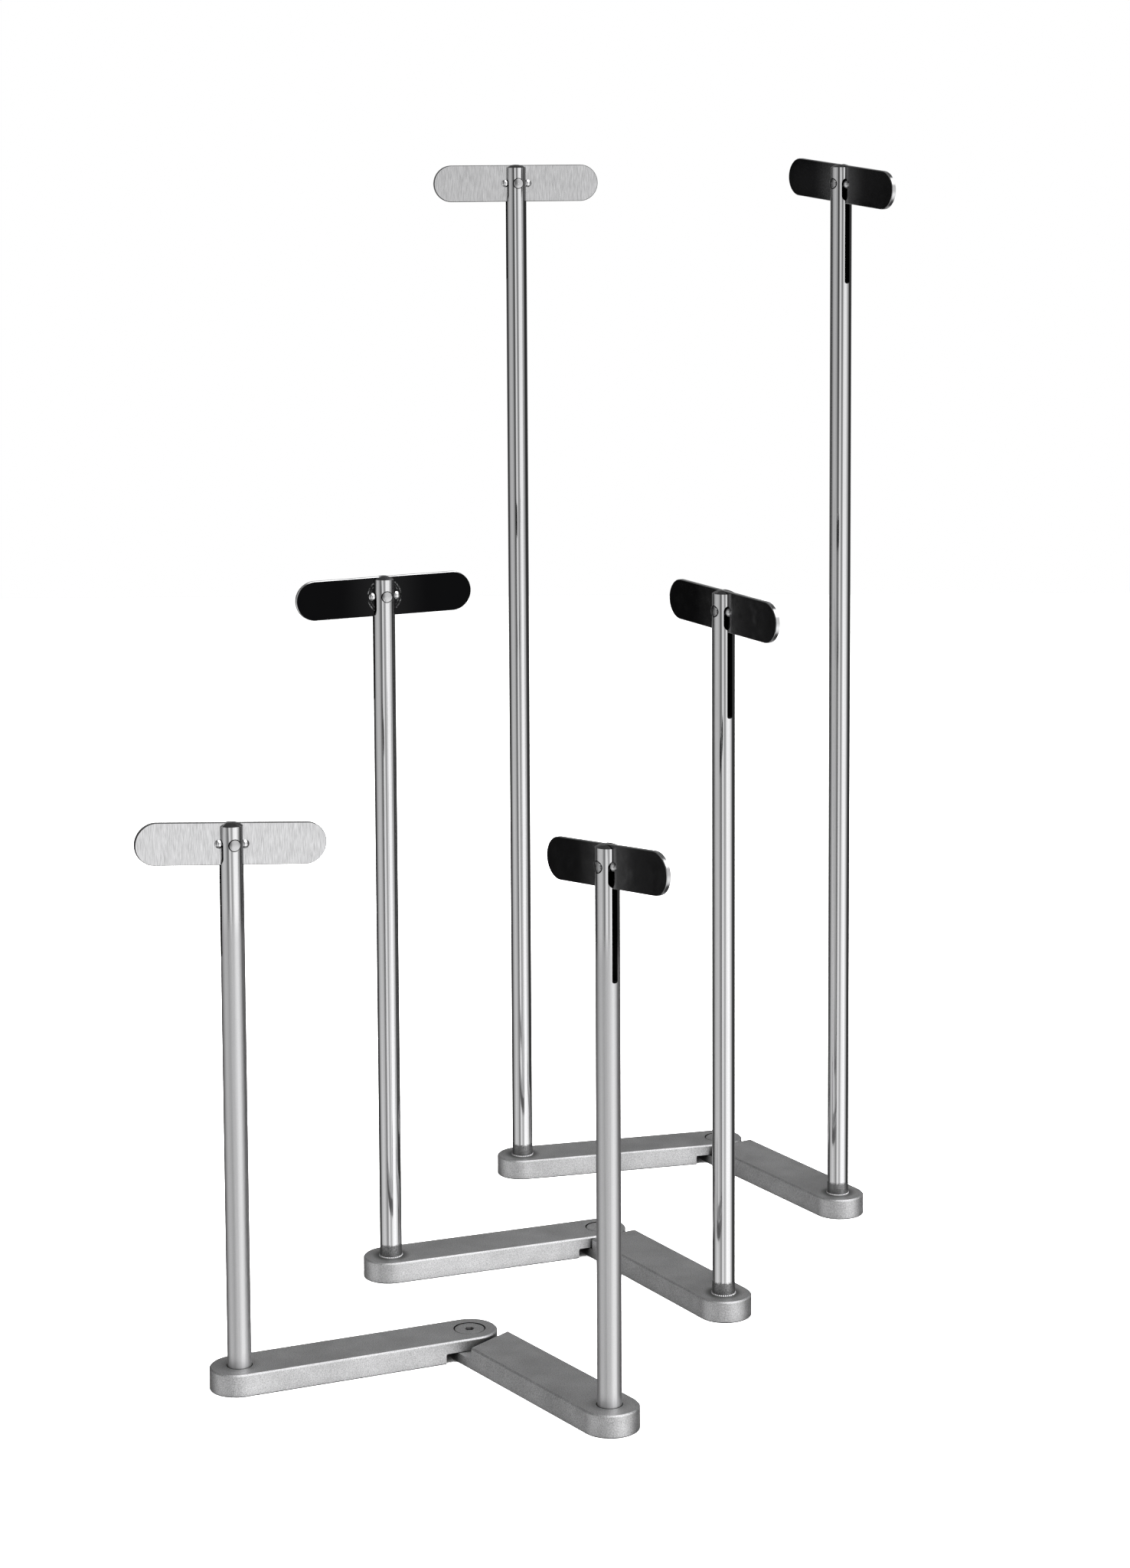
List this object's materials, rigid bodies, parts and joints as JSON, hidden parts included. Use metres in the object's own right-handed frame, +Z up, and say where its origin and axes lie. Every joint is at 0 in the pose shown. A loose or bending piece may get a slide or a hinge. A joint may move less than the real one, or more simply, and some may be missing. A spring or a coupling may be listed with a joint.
{
  "type": "set of folding stands with tilting cross plates",
  "caption": "Nested set of folding steel stands: two flat foot bars on a lap hinge, each with a slotted round post carrying a rounded cross plate that folds down.",
  "frame": {"origin": "on the floor, under the middle of the whole set", "axes": "+Z up, along the posts; -Y towards the small stand in front, +Y towards the tall stand behind, +X to the right seen from the front"},
  "size_m": [0.5194, 0.6264, 0.8039],
  "materials": {
    "blasted_steel": "matte",
    "satin_steel": "satin",
    "polished_steel": "polished",
    "brushed_plate": "brushed",
    "dark_plate": "polished",
    "weld_metal": "satin"
  },
  "bodies": {
    "right_halves": {"small_right_bar": "blasted_steel", "small_right_post": "satin_steel", "small_right_rivet": "polished_steel", "small_hinge_screw": "blasted_steel", "small_hinge_washer": "polished_steel", "mid_right_bar": "blasted_steel", "mid_right_post": "polished_steel", "mid_right_weld": "weld_metal", "mid_right_rivet": "polished_steel", "mid_hinge_screw": "blasted_steel", "mid_hinge_washer": "polished_steel", "tall_right_bar": "blasted_steel", "tall_right_post": "polished_steel", "tall_right_weld": "weld_metal", "tall_right_rivet": "polished_steel", "tall_hinge_screw": "blasted_steel", "tall_hinge_washer": "polished_steel"},
    "small_left_half": {"small_left_bar": "blasted_steel", "small_left_post": "satin_steel", "small_left_rivet": "polished_steel"},
    "small_left_plate_body": {"small_left_plate": "brushed_plate", "small_left_outer_stud": "polished_steel", "small_left_inner_stud": "polished_steel"},
    "small_right_plate_body": {"small_right_plate": "dark_plate", "small_right_outer_stud": "polished_steel", "small_right_inner_stud": "polished_steel"},
    "mid_left_half": {"mid_left_bar": "blasted_steel", "mid_left_post": "polished_steel", "mid_left_weld": "weld_metal", "mid_left_rivet": "polished_steel"},
    "mid_left_plate_body": {"mid_left_plate": "dark_plate", "mid_left_outer_stud": "polished_steel", "mid_left_inner_stud": "polished_steel"},
    "mid_right_plate_body": {"mid_right_plate": "dark_plate", "mid_right_outer_stud": "polished_steel", "mid_right_inner_stud": "polished_steel"},
    "tall_left_half": {"tall_left_bar": "blasted_steel", "tall_left_post": "polished_steel", "tall_left_weld": "weld_metal", "tall_left_rivet": "polished_steel"},
    "tall_left_plate_body": {"tall_left_plate": "brushed_plate", "tall_left_outer_stud": "polished_steel", "tall_left_inner_stud": "polished_steel"},
    "tall_right_plate_body": {"tall_right_plate": "dark_plate", "tall_right_outer_stud": "polished_steel", "tall_right_inner_stud": "polished_steel"}
  },
  "joints": [
    {"name": "small_left_plate_tilt", "type": "hinge", "parent": "small_left_half", "child": "small_left_plate_body", "pos_m": [-0.19956, -0.18951, 0.3655], "axis": [0.3907, -0.9205, 0], "range_deg": [-0.4, 94.6]},
    {"name": "small_right_plate_tilt", "type": "hinge", "parent": "right_halves", "child": "small_right_plate_body", "pos_m": [0.04397, -0.25934, 0.3655], "axis": [0.8192, 0.5736, 0], "range_deg": [0, 95]},
    {"name": "small_base_fold", "type": "hinge", "parent": "right_halves", "child": "small_left_half", "pos_m": [-0.04952, -0.12582, 0.00705], "axis": [0, 0, -1], "range_deg": [-24, 70]},
    {"name": "mid_left_plate_tilt", "type": "hinge", "parent": "mid_left_half", "child": "mid_left_plate_body", "pos_m": [-0.11069, 0.02076, 0.4975], "axis": [0.3584, -0.9336, 0], "range_deg": [-6, 89]},
    {"name": "mid_right_plate_tilt", "type": "hinge", "parent": "right_halves", "child": "mid_right_plate_body", "pos_m": [0.12665, -0.0598, 0.4975], "axis": [0.8526, 0.5225, 0], "range_deg": [-7, 88]},
    {"name": "mid_base_fold", "type": "hinge", "parent": "right_halves", "child": "mid_left_half", "pos_m": [0.04148, 0.07918, 0.00705], "axis": [0, 0, -1], "range_deg": [-10.5, 71.5]},
    {"name": "tall_left_plate_tilt", "type": "hinge", "parent": "tall_left_half", "child": "tall_left_plate_body", "pos_m": [-0.01833, 0.25337, 0.7855], "axis": [0.2504, -0.9681, 0], "range_deg": [-5, 90]},
    {"name": "tall_right_plate_tilt", "type": "hinge", "parent": "right_halves", "child": "tall_right_plate_body", "pos_m": [0.22465, 0.1552, 0.7855], "axis": [0.8526, 0.5225, 0], "range_deg": [-10, 85]},
    {"name": "tall_base_fold", "type": "hinge", "parent": "right_halves", "child": "tall_left_half", "pos_m": [0.13948, 0.29418, 0.00705], "axis": [0, 0, -1], "range_deg": [-17, 163]}
  ]
}
